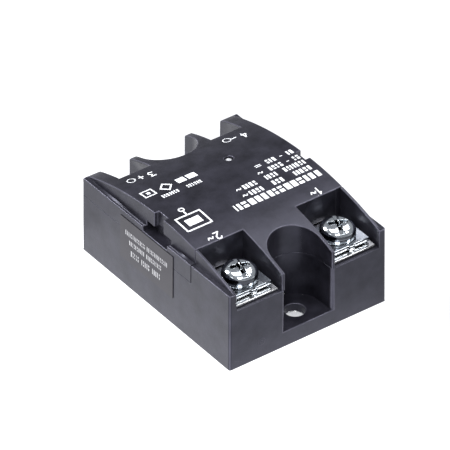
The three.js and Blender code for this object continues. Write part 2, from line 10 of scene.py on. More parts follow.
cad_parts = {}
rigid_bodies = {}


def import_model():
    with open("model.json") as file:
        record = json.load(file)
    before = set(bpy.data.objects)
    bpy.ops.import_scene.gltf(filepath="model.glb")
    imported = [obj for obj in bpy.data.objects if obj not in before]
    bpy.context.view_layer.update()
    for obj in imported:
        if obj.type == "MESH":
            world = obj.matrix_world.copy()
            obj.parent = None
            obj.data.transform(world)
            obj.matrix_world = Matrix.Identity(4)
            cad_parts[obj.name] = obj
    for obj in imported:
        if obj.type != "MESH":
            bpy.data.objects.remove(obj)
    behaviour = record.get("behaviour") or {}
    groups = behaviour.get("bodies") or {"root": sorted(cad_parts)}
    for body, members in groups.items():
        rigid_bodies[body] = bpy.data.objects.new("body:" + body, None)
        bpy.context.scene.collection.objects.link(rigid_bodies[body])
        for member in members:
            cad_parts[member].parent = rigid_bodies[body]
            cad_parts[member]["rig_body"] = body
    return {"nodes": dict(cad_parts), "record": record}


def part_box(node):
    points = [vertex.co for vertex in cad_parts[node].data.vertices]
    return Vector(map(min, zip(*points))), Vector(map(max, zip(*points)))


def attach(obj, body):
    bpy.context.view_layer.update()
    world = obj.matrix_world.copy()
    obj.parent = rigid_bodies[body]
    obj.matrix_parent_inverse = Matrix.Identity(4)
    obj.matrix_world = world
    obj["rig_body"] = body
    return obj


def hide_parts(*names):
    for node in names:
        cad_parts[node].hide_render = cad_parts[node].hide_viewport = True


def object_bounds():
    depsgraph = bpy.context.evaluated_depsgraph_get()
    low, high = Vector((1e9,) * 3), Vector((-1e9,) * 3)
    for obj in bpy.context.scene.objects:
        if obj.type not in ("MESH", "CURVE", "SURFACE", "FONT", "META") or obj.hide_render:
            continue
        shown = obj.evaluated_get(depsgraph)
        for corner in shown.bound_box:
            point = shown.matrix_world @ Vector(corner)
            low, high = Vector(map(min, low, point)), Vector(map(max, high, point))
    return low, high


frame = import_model()
cad_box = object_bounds()

MM = 0.001

# ---- places, read from the frame -----------------------------------------------------------------

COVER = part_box("cover")
CROWN_Z = COVER[1].z
ARCH_RADIUS = 84.1 * MM
FRONT_Y = cad_box[0].y
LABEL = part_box("seal_label")
DRAFT = math.tan(math.radians(0.76))
POSTS = {"load": "power", "line": "power", "positive": "control", "negative": "control"}


def arch_z(y):
    """Height of the arched top at a distance y from the middle."""
    return CROWN_Z - ARCH_RADIUS + math.sqrt(ARCH_RADIUS ** 2 - y ** 2)


def middle(box):
    return (box[0] + box[1]) / 2


# ---- material helpers ----------------------------------------------------------------------------

UPRIGHT_NORMAL_Z = 0.35  # a face whose normal rises or falls less than this stands upright
DUST_CELL = 3.5 * MM
DUST_RADIUS = 0.10 * MM
DUST_COLOUR = (0.55, 0.55, 0.56)


class Nodes:
    """A short way to write one material's node tree."""

    def __init__(self, name):
        self.material = bpy.data.materials.new(name)
        self.material.use_nodes = True
        self.tree = self.material.node_tree
        self.shader = self.tree.nodes["Principled BSDF"]
        coordinates = self.tree.nodes.new("ShaderNodeTexCoord")
        self.place = coordinates.outputs["Object"]

    def link(self, source, target):
        self.tree.links.new(source, target)

    def noise(self, scale, detail=3.0, roughness=0.5, place=None):
        node = self.tree.nodes.new("ShaderNodeTexNoise")
        node.inputs["Scale"].default_value = scale
        node.inputs["Detail"].default_value = detail
        node.inputs["Roughness"].default_value = roughness
        self.link(place or self.place, node.inputs["Vector"])
        return node.outputs["Fac"]

    def stretched(self, x, y, z):
        """The place scaled unevenly, so that a pattern laid on it runs in streaks."""
        node = self.tree.nodes.new("ShaderNodeMapping")
        node.inputs["Scale"].default_value = (x, y, z)
        self.link(self.place, node.inputs["Vector"])
        return node.outputs["Vector"]

    def spread(self, fac, low, high, start=0.3, end=0.7):
        """fac from start..end carried to low..high."""
        node = self.tree.nodes.new("ShaderNodeMapRange")
        node.inputs["From Min"].default_value = start
        node.inputs["From Max"].default_value = end
        node.inputs["To Min"].default_value = low
        node.inputs["To Max"].default_value = high
        self.link(fac, node.inputs["Value"])
        return node.outputs["Result"]

    def specks(self, cell, radius, share):
        """1 on a few small round specks, one at most in each cell, 0 elsewhere."""
        node = self.tree.nodes.new("ShaderNodeTexVoronoi")
        node.inputs["Scale"].default_value = 1 / cell
        self.link(self.place, node.inputs["Vector"])
        near = self.with_number("LESS_THAN", node.outputs["Distance"], radius / cell)
        split = self.tree.nodes.new("ShaderNodeSeparateColor")
        self.link(node.outputs["Color"], split.inputs["Color"])
        chosen = self.with_number("LESS_THAN", split.outputs["Red"], share)
        return self.combine("MULTIPLY", near, chosen)

    def with_number(self, operation, value, number):
        """One math step on a node's output and a plain number."""
        node = self.tree.nodes.new("ShaderNodeMath")
        node.operation = operation
        node.inputs[1].default_value = number
        self.link(value, node.inputs[0])
        return node.outputs["Value"]

    def combine(self, operation, first, second):
        """One math step on two nodes' outputs."""
        node = self.tree.nodes.new("ShaderNodeMath")
        node.operation = operation
        self.link(first, node.inputs[0])
        self.link(second, node.inputs[1])
        return node.outputs["Value"]

    def blend(self, fac, first, second):
        """A colour between first and second; either may be a colour or another node's output."""
        node = self.tree.nodes.new("ShaderNodeMix")
        node.data_type = "RGBA"
        for colour, socket in ((first, node.inputs["A"]), (second, node.inputs["B"])):
            if isinstance(colour, tuple):
                socket.default_value = (*colour, 1)
            else:
                self.link(colour, socket)
        self.link(fac, node.inputs["Factor"])
        return node.outputs["Result"]

    def upright(self):
        """1 on faces that stand upright, 0 on level ones."""
        node = self.tree.nodes.new("ShaderNodeNewGeometry")
        split = self.tree.nodes.new("ShaderNodeSeparateXYZ")
        self.link(node.outputs["Normal"], split.inputs["Vector"])
        return self.with_number("LESS_THAN", self.absolute(split.outputs["Z"]), UPRIGHT_NORMAL_Z)

    def absolute(self, value):
        node = self.tree.nodes.new("ShaderNodeMath")
        node.operation = "ABSOLUTE"
        self.link(value, node.inputs[0])
        return node.outputs["Value"]

    def base_colour(self, source):
        self.link(source, self.shader.inputs["Base Color"])

    def roughness(self, source):
        self.link(source, self.shader.inputs["Roughness"])

    def bump(self, height, distance, strength=1.0):
        node = self.tree.nodes.new("ShaderNodeBump")
        node.inputs["Distance"].default_value = distance
        node.inputs["Strength"].default_value = strength
        self.link(height, node.inputs["Height"])
        self.link(node.outputs["Normal"], self.shader.inputs["Normal"])

    def set(self, **values):
        for key, value in values.items():
            self.shader.inputs[key.replace("_", " ")].default_value = value


def moulded_plastic(name, dark, light, gloss, rough, grain, dust=0.03):
    """Black engineering plastic: spark-eroded grain, faint flow mottling and a few paler dust specks."""
    m = Nodes(name)
    mottle = m.spread(m.noise(210, detail=6, roughness=0.6), 0, 1)
    body = m.blend(mottle, dark, light)
    specks = m.specks(DUST_CELL, DUST_RADIUS, dust)
    m.base_colour(m.blend(specks, body, DUST_COLOUR))
    m.roughness(m.spread(m.noise(260, detail=5, roughness=0.65), gloss, rough))
    fine = m.spread(m.noise(4200, detail=2), 0, 1)
    coarse = m.spread(m.noise(900, detail=2), 0, 0.8)
    m.bump(m.combine("ADD", fine, coarse), grain)
    m.set(IOR=1.43, Specular_Tint=(0.75, 0.76, 0.98, 1))
    return m.material


def plated_metal(name, tint, shade, smooth, rough, scratch, sheared=None):
    """Bright plating with hair-fine scratches; the tint drifts a little and sheared edges show bands."""
    m = Nodes(name)
    body = m.blend(m.spread(m.noise(500, detail=3), 0, 1), shade, tint)
    if sheared:
        bands = m.spread(m.noise(400, detail=2, place=m.stretched(0.02, 0.02, 5)), 0, 1, 0.42, 0.5)
        body = m.blend(m.combine("MULTIPLY", m.upright(), bands), body, sheared)
    m.base_colour(body)
    m.roughness(m.spread(m.noise(1500, detail=4), smooth, rough))
    lines = m.noise(1400, detail=3, place=m.stretched(1, 7, 2))
    m.bump(m.spread(lines, 0, 1), scratch)
    m.set(Metallic=1.0)
    return m.material


def coated(name, first, second, rough, scale, relief, **settings):
    """A painted, moulded or fired surface: two close tones in patches with a little relief."""
    m = Nodes(name)
    m.base_colour(m.blend(m.spread(m.noise(scale, detail=4), 0, 1), first, second))
    m.roughness(m.spread(m.noise(scale * 3, detail=3), rough * 0.85, rough * 1.15))
    m.bump(m.noise(scale * 8, detail=2), relief)
    m.set(**settings)
    return m.material


def circuit_laminate():
    """Green solder mask with darker bare strips between the hidden copper tracks."""
    m = Nodes("board_green")
    weave = m.noise(1800, detail=2, place=m.stretched(1, 1, 0.2))
    tracks = m.spread(m.noise(240, detail=0.5, place=m.stretched(1, 0.35, 1)), 0, 1, 0.48, 0.52)
    m.base_colour(m.blend(tracks, (0.012, 0.10, 0.035), (0.02, 0.17, 0.06)))
    m.roughness(m.spread(weave, 0.28, 0.42))
    m.bump(m.combine("ADD", tracks, weave), 0.03 * MM, 0.5)
    return m.material


def frosted_pipe():
    """Frosted clear moulding: pale in the middle of its end face, with painted shade darkening it round the
    rim.
    """
    m = Nodes("clear_pipe")
    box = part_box("light_pipe")
    away = m.tree.nodes.new("ShaderNodeVectorMath")
    away.operation = "DISTANCE"
    flat = m.tree.nodes.new("ShaderNodeVectorMath")
    flat.operation = "MULTIPLY"
    flat.inputs[1].default_value = (1, 1, 0)
    m.link(m.place, flat.inputs[0])
    m.link(flat.outputs["Vector"], away.inputs[0])
    away.inputs[1].default_value = (middle(box).x, middle(box).y, 0)
    # painted shade: the end face turns near black towards its rim, as the hole round it would shade it
    rim = m.spread(away.outputs["Value"], 0, 1, 0.45 * MM, 0.75 * MM)
    cloud = m.blend(m.spread(m.noise(1500, detail=3), 0, 1), (0.36, 0.37, 0.39), (0.6, 0.61, 0.64))
    m.base_colour(m.blend(rim, cloud, (0.03, 0.03, 0.035)))
    m.roughness(m.spread(m.noise(900), 0.16, 0.26))
    m.bump(m.noise(3000, detail=2), 0.006 * MM)
    m.set(IOR=1.49)
    return m.material


def printed_ink(name, thin, full):
    """Pad-printed ink, a little thin in places."""
    m = Nodes(name)
    m.base_colour(m.blend(m.spread(m.noise(1600, detail=3), 0, 1, 0.25, 0.5), thin, full))
    m.roughness(m.spread(m.noise(2400, detail=2), 0.45, 0.6))
    m.bump(m.noise(5000, detail=2), 0.004 * MM)
    return m.material


LOOKS = {
    "black_plastic": moulded_plastic(
        "black_plastic", (0.005, 0.0048, 0.007), (0.0205, 0.02, 0.028), 0.28, 0.39, 0.005 * MM, dust=0.5),
    "label_film": moulded_plastic(
        "label_film", (0.020, 0.018, 0.019), (0.026, 0.023, 0.023), 0.36, 0.42, 0.002 * MM, dust=0.01),
    "zinc_steel": plated_metal(
        "zinc_steel", (0.78, 0.82, 0.86), (0.62, 0.67, 0.72), 0.10, 0.18, 0.0008 * MM,
        sheared=(0.06, 0.065, 0.075)),
    "tinned_metal": plated_metal(
        "tinned_metal", (0.83, 0.83, 0.82), (0.68, 0.69, 0.70), 0.12, 0.24, 0.001 * MM,
        sheared=(0.10, 0.10, 0.10)),
    "aluminium": plated_metal("aluminium", (0.86, 0.87, 0.88), (0.74, 0.75, 0.76), 0.22, 0.36, 0.004 * MM),
    "plain_steel": plated_metal("plain_steel", (0.56, 0.57, 0.58), (0.42, 0.43, 0.44), 0.25, 0.4, 0.004 * MM),
    "copper": plated_metal("copper", (0.80, 0.42, 0.27), (0.66, 0.32, 0.19), 0.2, 0.36, 0.003 * MM),
    "silicon": coated("silicon", (0.10, 0.11, 0.14), (0.20, 0.22, 0.27), 0.16, 300, 0.001 * MM, Metallic=0.5),
    "alumina": coated("alumina", (0.78, 0.76, 0.71), (0.86, 0.84, 0.80), 0.55, 700, 0.006 * MM),
    "board_green": circuit_laminate(),
    "package_white": coated("package_white", (0.72, 0.71, 0.66), (0.80, 0.79, 0.74), 0.45, 600, 0.006 * MM),
    "package_black": coated(
        "package_black", (0.012, 0.012, 0.014), (0.022, 0.022, 0.025), 0.5, 600, 0.008 * MM),
    "varistor_blue": coated("varistor_blue", (0.02, 0.07, 0.27), (0.03, 0.11, 0.36), 0.3, 400, 0.02 * MM),
    "capacitor_red": coated("capacitor_red", (0.36, 0.05, 0.03), (0.45, 0.08, 0.05), 0.35, 300, 0.006 * MM),
    "resistor_body": coated("resistor_body", (0.42, 0.33, 0.21), (0.52, 0.42, 0.28), 0.65, 900, 0.03 * MM),
    "led_green": coated("led_green", (0.05, 0.38, 0.07), (0.08, 0.48, 0.10), 0.12, 200, 0.001 * MM,
                        Transmission_Weight=0.55, IOR=1.5),
    "clear_pipe": frosted_pipe(),
}
INK = printed_ink("white_ink", (0.55, 0.56, 0.60), (0.86, 0.88, 0.92))
FAINT_INK = printed_ink("faint_ink", (0.26, 0.26, 0.27), (0.50, 0.50, 0.52))
LABEL_EDGE = moulded_plastic(
    "label_edge", (0.07, 0.07, 0.075), (0.10, 0.10, 0.105), 0.3, 0.4, 0.002 * MM, dust=0)
# Lighter, glossier plastic: on the rounded outer edges and the front corner faces of the mouldings its light
# tone is a painted highlight; on the front face it draws the ejector ring and the scratch.
EDGE_HIGHLIGHT_AND_MARK_PLASTIC = moulded_plastic(
    "edge_highlight_and_mark_plastic", (0.048, 0.047, 0.062), (0.085, 0.083, 0.107), 0.2, 0.28, 0.002 * MM, dust=0)

# ---- building and placing pieces -----------------------------------------------------------------


def slot_of(node):
    for row in frame["record"]["subparts"]:
        if row["node"] == node:
            return row["material_slot"]
    return None


def body_of(node):
    return frame["nodes"][node]["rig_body"]


def add_piece(name, mesh, like, look=None, replaces=True):
    """A new piece from a bmesh: it rides with the CAD node it is like, and may stand for it."""
    for face in mesh.faces:
        face.smooth = True
    data = bpy.data.meshes.new(name)
    mesh.to_mesh(data)
    mesh.free()
    data.materials.append(look or LOOKS[slot_of(like)])
    piece = bpy.data.objects.new(name, data)
    bpy.context.scene.collection.objects.link(piece)
    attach(piece, body_of(like))
    if replaces:
        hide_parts(like)
    return piece


SHARP_DEGREES = 24
SHARP = math.radians(SHARP_DEGREES)


def sharp_edges(mesh):
    return [edge for edge in mesh.edges if len(edge.link_faces) == 2 and edge.calc_face_angle(0) > SHARP]


def weigh_edges(mesh, seam, groove):
    """Chamfers the seam by groove, and marks every other sharp outer edge for rounding."""
    def along_seam(edge):
        return all(seam(vertex.co) for vertex in edge.verts)

    lips = [edge for edge in sharp_edges(mesh) if edge.is_convex and along_seam(edge)]
    bmesh.ops.bevel(
        mesh, geom=lips, offset=groove, offset_type="OFFSET", segments=1, profile=0.5,
        affect="EDGES", clamp_overlap=True, material=-1)
    weight = mesh.edges.layers.float.new("bevel_weight_edge")
    for edge in sharp_edges(mesh):
        if edge.is_convex and not along_seam(edge):
            edge[weight] = 1
        else:
            edge.smooth = False


def round_edges(piece, width, segments=3, angle=SHARP_DEGREES, clamp=False, edge_look=None):
    """Rounds the sharp edges, with shading led by the large faces; edge_look gives the rounds a material of
    their own, on the mouldings a painted highlight.
    """
    bevel = piece.modifiers.new("edges", "BEVEL")
    bevel.width = width
    bevel.segments = segments
    bevel.limit_method = "WEIGHT" if "bevel_weight_edge" in piece.data.attributes else "ANGLE"
    bevel.angle_limit = math.radians(angle)
    bevel.use_clamp_overlap = clamp
    bevel.loop_slide = False
    if edge_look:
        piece.data.materials.append(edge_look)
        bevel.material = 1
    shading = piece.modifiers.new("shading", "WEIGHTED_NORMAL")
    shading.mode = "FACE_AREA"
    shading.weight = 50
    shading.keep_sharp = True


# X in millimetres. Every round hole in a flat face is centred on one of these lines, so a cut there
# leaves no face with a hole.
HOLE_LINES = (-13.9, -13.1, 0, 6, 13.1, 13.9)


def merged_copy(node):
    """The CAD node's mesh with its flat faces whole again, apart from cuts through the holes."""
    mesh = bmesh.new()
    mesh.from_mesh(frame["nodes"][node].data)
    bmesh.ops.remove_doubles(mesh, verts=mesh.verts, dist=0.002 * MM)
    for x in HOLE_LINES:
        geometry = [*mesh.verts, *mesh.edges, *mesh.faces]
        made = bmesh.ops.bisect_plane(
            mesh, geom=geometry, dist=0.0005 * MM, plane_co=(x * MM, 0, 0), plane_no=(1, 0, 0))
        for item in made["geom_cut"]:
            if isinstance(item, bmesh.types.BMEdge):
                item.seam = True
    bmesh.ops.dissolve_limit(
        mesh, angle_limit=math.radians(0.3), verts=mesh.verts, edges=mesh.edges, delimit={"SEAM"})
    return mesh


STRIP = 0.8 * MM  # width of the strips the arched top is cut into
RIM_MARGIN = 0.5 * MM  # no cut is kept this close to a sharp edge across the arch


def on_arch(vertex):
    return abs(vertex.co.z - arch_z(vertex.co.y)) < 0.03 * MM


def runs_across(edge):
    """An edge of the arched top that lies along X."""
    first, second = (vertex.co for vertex in edge.verts)
    return abs(first.y - second.y) < 0.01 * MM and on_arch(edge.verts[0]) and on_arch(edge.verts[1])


def true_arch(mesh):
    """Cuts the arched top into narrow strips and lays every corner on the true arc."""
    y = cad_box[0].y + STRIP
    while y < cad_box[1].y - STRIP:
        top = [face for face in mesh.faces if face.normal.z > 0.9 and all(map(on_arch, face.verts))]
        edges = {edge for face in top for edge in face.edges}
        corners = {vertex for face in top for vertex in face.verts}
        bmesh.ops.bisect_plane(mesh, geom=[*top, *edges, *corners], plane_co=(0, y, 0), plane_no=(0, 1, 0))
        y += STRIP
    for vertex in mesh.verts:
        if on_arch(vertex):
            vertex.co.z = arch_z(vertex.co.y)
    across = [edge for edge in mesh.edges if runs_across(edge)]
    rims = {round(edge.verts[0].co.y, 6) for edge in across if edge.calc_face_angle(0) > SHARP}
    crowded = [
        edge for edge in across
        if edge.calc_face_angle(0) < SHARP
        and any(abs(edge.verts[0].co.y - rim) < RIM_MARGIN for rim in rims)
    ]
    bmesh.ops.dissolve_edges(mesh, edges=crowded, use_verts=True)


# ---- housing, cover and the flat metal parts -----------------------------------------------------


PARTING_Z = 15.9 * MM
SEAM_Y = -14 * MM
SIDE_WALL_X = 20.5 * MM
CORNER_Y = -27 * MM


def on_seam(point):
    """Where the cover meets the housing: the level parting and the upright step near the front."""
    outside = abs(point.x) > SIDE_WALL_X
    level = abs(point.z - PARTING_Z) < 0.35 * MM
    step = abs(point.y - SEAM_Y) < 0.45 * MM and PARTING_Z < point.z < arch_z(SEAM_Y) - 0.5 * MM
    return level or (outside and step)


def front_corner(face):
    """A face near the front that slants between the front and a side."""
    return face.calc_center_median().y < CORNER_Y and abs(face.normal.x) > 0.5 and face.normal.y < -0.5


def moulding(node, name):
    """The CAD moulding with a true arch, a groove along the seam and its outer edges rounded, with a painted
    highlight on the rounds and on the front corner faces.
    """
    mesh = merged_copy(node)
    true_arch(mesh)
    weigh_edges(mesh, on_seam, 0.15 * MM)
    # painted highlight: the slanting front corner faces take the lighter edge material
    for face in mesh.faces:
        if front_corner(face):
            face.material_index = 1
    piece = add_piece(name, mesh, node)
    # painted highlight: every rounded outer edge takes the lighter edge material
    round_edges(piece, 0.2 * MM, edge_look=EDGE_HIGHLIGHT_AND_MARK_PLASTIC)


def pressed(node, name, edge):
    """A CAD plate or bar with its edges rounded by edge."""
    round_edges(add_piece(name, merged_copy(node), node), edge)


# ---- screws --------------------------------------------------------------------------------------

# Radii and lengths in millimetres.
SCREWS = {
    "power": {"thread": 2.5, "head": 4.25, "height": 3.5, "length": 9, "pitch": 0.8, "slot": 1.15},
    "control": {"thread": 1.5, "head": 2.95, "height": 2.3, "length": 9, "pitch": 0.5, "slot": 0.8},
}
SLOT_TURN = {"load": -16, "line": -22, "positive": 38, "negative": -61}
AROUND = 72  # columns of corners round a screw
DOME_STEPS = 12
PER_PITCH = 6  # rows of corners along one turn of thread
THREAD_DEPTH = 0.3  # of the pitch
TIP_STEP = 0.4  # the last of the shank, in millimetres, is thinner by as much
# The head is slotted down to SLOT_FLOOR of its height; a cross recess, reaching CROSS_REACH of its radius
# and narrowing to WING_FOOT of its width, goes down to CROSS_FLOOR.
SLOT_FLOOR = 0.74
CROSS_FLOOR = 0.56
CROSS_REACH = 0.62
WING_FOOT = 0.62


def head_profile(size):
    """(radius, height over the seat) from the rim of the seat up over the dome, in millimetres."""
    head, height = size["head"], size["height"]
    rim = 0.42 * height
    profile = [(head * 0.97, 0), (head, 0.12)]
    for step in range(DOME_STEPS + 1):
        angle = math.pi / 2 * step / DOME_STEPS
        profile.append((head * (0.40 + 0.60 * math.cos(angle)), rim + (height - rim) * math.sin(angle)))
    profile.append((head * 0.2, height * 1.005))
    return profile


def thread_profile(size, angle):
    """(radius, height under the seat) down the shank at one angle round it, in millimetres."""
    pitch, depth, length = size["pitch"], size["pitch"] * THREAD_DEPTH, size["length"]
    profile = []
    count = int(length / pitch * PER_PITCH)
    for step in range(count + 1):
        z = length * step / count
        phase = (z / pitch + angle / (2 * math.pi)) % 1
        crest = max(0.0, min(1.0, 1.35 - 2.7 * abs(phase - 0.5)))
        fade = min(1.0, z / pitch, (length - z) / pitch)
        thinner = TIP_STEP if z > length - TIP_STEP else 0
        profile.append((size["thread"] - depth * (1 - crest) * fade - thinner, -z))
    return profile


def screw_blank(size):
    """Head and threaded shank as one closed skin round the Z axis, seat at zero."""
    mesh = bmesh.new()
    columns = []
    for step in range(AROUND):
        angle = 2 * math.pi * step / AROUND
        points = list(reversed(head_profile(size))) + thread_profile(size, angle)
        turn = Matrix.Rotation(angle, 3, "Z")
        columns.append([mesh.verts.new(turn @ Vector((r, 0, z)) * MM) for r, z in points])
    top = mesh.verts.new((0, 0, columns[0][0].co.z))
    tip = mesh.verts.new((0, 0, columns[0][-1].co.z))
    for step in range(AROUND):
        left, right = columns[step], columns[(step + 1) % AROUND]
        mesh.faces.new((top, left[0], right[0]))
        for row in range(len(left) - 1):
            mesh.faces.new((left[row], left[row + 1], right[row + 1], right[row]))
        mesh.faces.new((tip, right[-1], left[-1]))
    bmesh.ops.recalc_face_normals(mesh, faces=mesh.faces)
    return mesh


def cutter_box(half_x, half_y, low, high):
    """A plain bar across the head, in millimetres."""
    mesh = bmesh.new()
    for vertex in bmesh.ops.create_cube(mesh, size=1)["verts"]:
        x, y = vertex.co.x * 2 * half_x, vertex.co.y * 2 * half_y
        vertex.co = Vector((x, y, low + (vertex.co.z + 0.5) * (high - low))) * MM
    return mesh


def tapered_wing(turned, reach, slot, low, high):
    """One bar of the cross recess: it narrows and shortens towards the bottom."""
    mesh = bmesh.new()
    for vertex in bmesh.ops.create_cube(mesh, size=1)["verts"]:
        wide = 1.0 if vertex.co.z > 0 else WING_FOOT
        x, y = vertex.co.x * 2 * reach * wide, vertex.co.y * slot * wide
        vertex.co = Vector((x, y, high if vertex.co.z > 0 else low)) * MM
    mesh.transform(Matrix.Rotation(math.pi / 2 if turned else 0, 4, "Z"))
    return mesh


def as_object(name, mesh):
    data = bpy.data.meshes.new(name)
    mesh.to_mesh(data)
    mesh.free()
    made = bpy.data.objects.new(name, data)
    bpy.context.scene.collection.objects.link(made)
    return made


def carved(blank, cutters):
    """blank with each cutter taken out, as one bmesh."""
    body = as_object("blank", blank)
    tools = [as_object("cutter", cutter) for cutter in cutters]
    for tool in tools:
        cut = body.modifiers.new("cut", "BOOLEAN")
        cut.operation = "DIFFERENCE"
        cut.solver = "EXACT"
        cut.object = tool
    ready = body.evaluated_get(bpy.context.evaluated_depsgraph_get())
    mesh = bmesh.new()
    mesh.from_mesh(ready.to_mesh())
    ready.to_mesh_clear()
    for made in (body, *tools):
        bpy.data.objects.remove(made)
    return mesh


def clamp_screw(post):
    """A terminal screw with a domed head, a slot over a cross recess, and a cut thread."""
    size = SCREWS[POSTS[post]]
    head, height, slot = size["head"], size["height"], size["slot"]
    across = cutter_box(slot / 2, head + 1, height * SLOT_FLOOR, height + 1)
    wings = [
        tapered_wing(turned, head * CROSS_REACH, slot * 1.05, height * CROSS_FLOOR, height + 0.4)
        for turned in (False, True)
    ]
    mesh = carved(screw_blank(size), [across, *wings])
    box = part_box(f"{post}_screw")
    place = Vector((middle(box).x, middle(box).y, box[1].z - height * MM))
    turn = Matrix.Rotation(math.radians(SLOT_TURN[post]), 4, "Z")
    mesh.transform(Matrix.Translation(place) @ turn)
    piece = add_piece(f"{post}_clamp_screw", mesh, f"{post}_screw")
    round_edges(piece, 0.09 * MM, segments=2, angle=32)


# ---- print on the arched top and on the label ----------------------------------------------------

INK_LIFT = 0.012 * MM
INK_DEPTH = 0.012 * MM


class Stencil:
    """Flat shapes in millimetres, gathered and then laid on a surface as one thin skin of ink."""

    def __init__(self):
        self.shapes = []

    def block(self, x0, x1, y0, y1):
        self.shapes.append([(x0, y0), (x1, y0), (x1, y1), (x0, y1)])

    def stroke(self, points, width):
        """A line of this width through the points, with square ends."""
        for (ax, ay), (bx, by) in zip(points, points[1:]):
            length = math.hypot(bx - ax, by - ay)
            ux, uy = (bx - ax) / length * width / 2, (by - ay) / length * width / 2
            ax, ay, bx, by = ax - ux, ay - uy, bx + ux, by + uy
            start, end = [(ax - uy, ay + ux), (ax + uy, ay - ux)], [(bx + uy, by - ux), (bx - uy, by + ux)]
            self.shapes.append(start + end)

    def ring(self, x, y, radius, width, sides=32):
        angles = [2 * math.pi * k / sides for k in range(sides + 1)]
        self.stroke([(x + radius * math.cos(a), y + radius * math.sin(a)) for a in angles], width)

    def lay(self, name, like, place, look=INK):
        """place(x, y, lift) gives the point over x, y on the surface, lift above it."""
        mesh = bmesh.new()
        for shape in self.shapes:
            outline = mesh.faces.new([mesh.verts.new((x, y, 0)) for x, y in shape])
            if outline.normal.z < 0:
                outline.normal_flip()
        low = min(y for shape in self.shapes for x, y in shape)
        high = max(y for shape in self.shapes for x, y in shape)
        cut = math.ceil(low)
        while cut < high:
            geometry = [*mesh.verts, *mesh.edges, *mesh.faces]
            bmesh.ops.bisect_plane(mesh, geom=geometry, plane_co=(0, cut, 0), plane_no=(0, 1, 0))
            cut += 1
        made = bmesh.ops.extrude_face_region(mesh, geom=list(mesh.faces))
        upper = {item for item in made["geom"] if isinstance(item, bmesh.types.BMVert)}
        for vertex in mesh.verts:
            lift = INK_LIFT if vertex in upper else INK_LIFT - INK_DEPTH
            vertex.co = place(vertex.co.x, vertex.co.y, lift)
        bmesh.ops.recalc_face_normals(mesh, faces=mesh.faces)
        piece = add_piece(name, mesh, like, look, replaces=False)
        for face in piece.data.polygons:
            face.use_smooth = False


def on_top(x, y, lift):
    return Vector((x * MM, y * MM, arch_z(y * MM) + lift))


# Each mark as strokes in a box one high; the box is as wide as DIGIT_WIDTH times its height.
DIGITS = {
    "1": [[(0.25, 0.75), (0.55, 1), (0.55, 0)]],
    "2": [[(0.05, 0.8), (0.25, 1), (0.6, 1), (0.8, 0.8), (0.75, 0.55), (0.05, 0), (0.85, 0)]],
    "3": [[(0.05, 1), (0.8, 1), (0.4, 0.6), (0.75, 0.4), (0.75, 0.15), (0.5, 0), (0.05, 0.1)]],
    "4": [[(0.65, 0), (0.65, 1), (0.05, 0.3), (0.85, 0.3)]],
    "+": [[(0.1, 0.5), (0.9, 0.5)], [(0.5, 0.1), (0.5, 0.9)]],
    "-": [[(0.1, 0.5), (0.9, 0.5)]],
    "~": [[(0, 0.4), (0.2, 0.65), (0.45, 0.55), (0.6, 0.4), (0.8, 0.35), (1, 0.6)]],
}


DIGIT_WIDTH = 0.72


def write(stencil, mark, x, y, size, width):
    """One digit or sign from x on, read from the rear: it runs toward -X and its top points to -Y."""
    for line in DIGITS[mark]:
        stencil.stroke([(x - u * size * DIGIT_WIDTH, y + size / 2 - v * size) for u, v in line], width)


SPLIT_SHARE = 0.35  # of the dashes have a gap near the middle of their height


def dashes(stencil, x0, x1, y, height, seed, solid):
    """A run of small upright dashes between x0 and x1, standing where a line of print would."""
    dice = random.Random(seed)
    low, x = min(x0, x1), max(x0, x1)
    while x > low + 0.3:
        wide = min(dice.uniform(0.5, 0.95) * height * solid, x - low)
        top = height / 2
        if dice.random() < SPLIT_SHARE:
            split = dice.uniform(-0.12, 0.12) * height
            stencil.block(x - wide, x, y - top, y - split - 0.14 * height)
            stencil.block(x - wide, x, y - split + 0.08 * height, y + top)
        else:
            stencil.block(x - wide, x, y - top, y + top)
        x -= wide + dice.uniform(0.2, 0.3) * height


